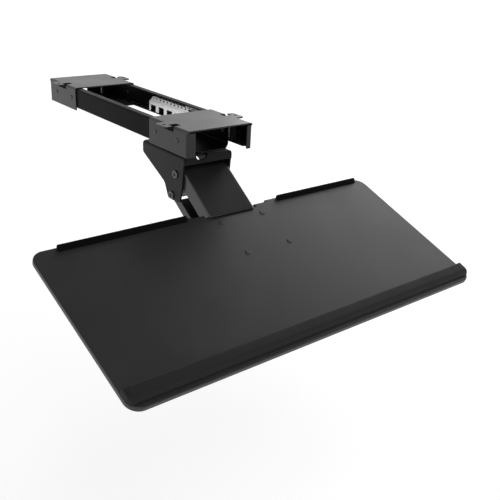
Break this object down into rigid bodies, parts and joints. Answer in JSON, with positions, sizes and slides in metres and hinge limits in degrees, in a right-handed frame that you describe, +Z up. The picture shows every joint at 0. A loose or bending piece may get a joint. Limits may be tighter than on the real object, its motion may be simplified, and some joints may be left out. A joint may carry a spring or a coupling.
{
  "type": "under-desk keyboard tray",
  "caption": "Under-desk keyboard tray: a pressed steel platform with a palm rest on a parallelogram arm that lifts, tilts, swivels and slides on a ball-bearing track.",
  "frame": {"origin": "centre of the front bracket's top face, which bears on the underside of the desk", "axes": "+Z up into the desk, +Y along the track away from the user, +X to the user's right"},
  "size_m": [0.59, 0.7142, 0.2112],
  "materials": {
    "bracket_coat": "satin black powder coat, fine texture",
    "rail_coat": "smooth black paint",
    "head_coat": "satin black powder coat",
    "arm_coat": "satin black powder coat",
    "tray_coat": "fine textured black powder coat",
    "dark_steel": "black oxide",
    "zinc_sheet": "bright zinc",
    "ball_steel": "polished",
    "stop_rubber": "matte",
    "glide_plastic": "matte nylon",
    "knob_plastic": "matte",
    "stop_plastic": "matte",
    "palm_cover": "soft matte cover with a fine grain"
  },
  "bodies": {
    "track": {"front_bracket": "bracket_coat", "rear_bracket": "bracket_coat", "left_rail": "rail_coat", "right_rail": "rail_coat", "rail_rivets": "dark_steel", "rail_stops": "stop_rubber"},
    "left_cage": {"left_ball_cage": "zinc_sheet", "left_balls": "ball_steel"},
    "right_cage": {"right_ball_cage": "zinc_sheet", "right_balls": "ball_steel"},
    "carriage": {"left_slide": "zinc_sheet", "right_slide": "zinc_sheet", "carriage": "head_coat", "carriage_screws": "dark_steel", "swivel_bolt": "dark_steel", "swivel_disc": "glide_plastic", "swivel_washer": "zinc_sheet", "swivel_nut": "zinc_sheet"},
    "head": {"swivel_head": "head_coat", "upper_shaft": "dark_steel", "lower_shaft": "dark_steel", "upper_spacer": "zinc_sheet", "lower_spacer": "zinc_sheet"},
    "arm": {"main_arm": "arm_coat", "front_shaft": "dark_steel", "front_spacer": "zinc_sheet"},
    "link": {"lower_link": "arm_coat"},
    "yoke": {"yoke": "arm_coat", "open_shaft": "dark_steel", "open_spacer": "zinc_sheet", "lock_bolt": "dark_steel"},
    "tray": {"tray": "tray_coat", "hinge_plate": "arm_coat", "tray_screws": "dark_steel", "left_stop": "stop_plastic", "right_stop": "stop_plastic", "palm_rest": "palm_cover"},
    "knob": {"tilt_knob": "knob_plastic"}
  },
  "joints": [
    {"name": "track_slide", "type": "slide", "parent": "track", "child": "carriage", "axis": [0, 1, 0], "range_m": [0, 0.168]},
    {"name": "left_cage_slide", "type": "slide", "parent": "track", "child": "left_cage", "axis": [0, 1, 0], "range_m": [0, 0.084]},
    {"name": "right_cage_slide", "type": "slide", "parent": "track", "child": "right_cage", "axis": [0, 1, 0], "range_m": [0, 0.084]},
    {"name": "swivel", "type": "hinge", "parent": "carriage", "child": "head", "pos_m": [0, 0.036, -0.047], "axis": [0, 0, 1], "range_deg": [-90, 90]},
    {"name": "arm_lift", "type": "hinge", "parent": "head", "child": "arm", "pos_m": [0, 0.0004, -0.0778], "axis": [-1, 0, 0], "range_deg": [-8, 26.3]},
    {"name": "link_lift", "type": "hinge", "parent": "head", "child": "link", "pos_m": [0, 0.0109, -0.1133], "axis": [-1, 0, 0], "range_deg": [-8.2, 26.5]},
    {"name": "yoke_level", "type": "hinge", "parent": "arm", "child": "yoke", "pos_m": [0, -0.08582, -0.13772], "axis": [-1, 0, 0], "range_deg": [-26.5, 8.2]},
    {"name": "tray_tilt", "type": "hinge", "parent": "yoke", "child": "tray", "pos_m": [0, -0.08582, -0.13772], "axis": [-1, 0, 0], "range_deg": [0, 22]},
    {"name": "knob_turn", "type": "hinge", "parent": "yoke", "child": "knob", "pos_m": [0.044, -0.09855, -0.15045], "axis": [1, 0, 0], "range_deg": [0, 180]}
  ],
  "couplings": [
    {"joint": "left_cage_slide", "follows": "track_slide", "ratio": 0.5},
    {"joint": "right_cage_slide", "follows": "track_slide", "ratio": 0.5},
    {"joint": "link_lift", "follows": "arm_lift", "ratio": 1},
    {"joint": "yoke_level", "follows": "arm_lift", "ratio": -1}
  ]
}
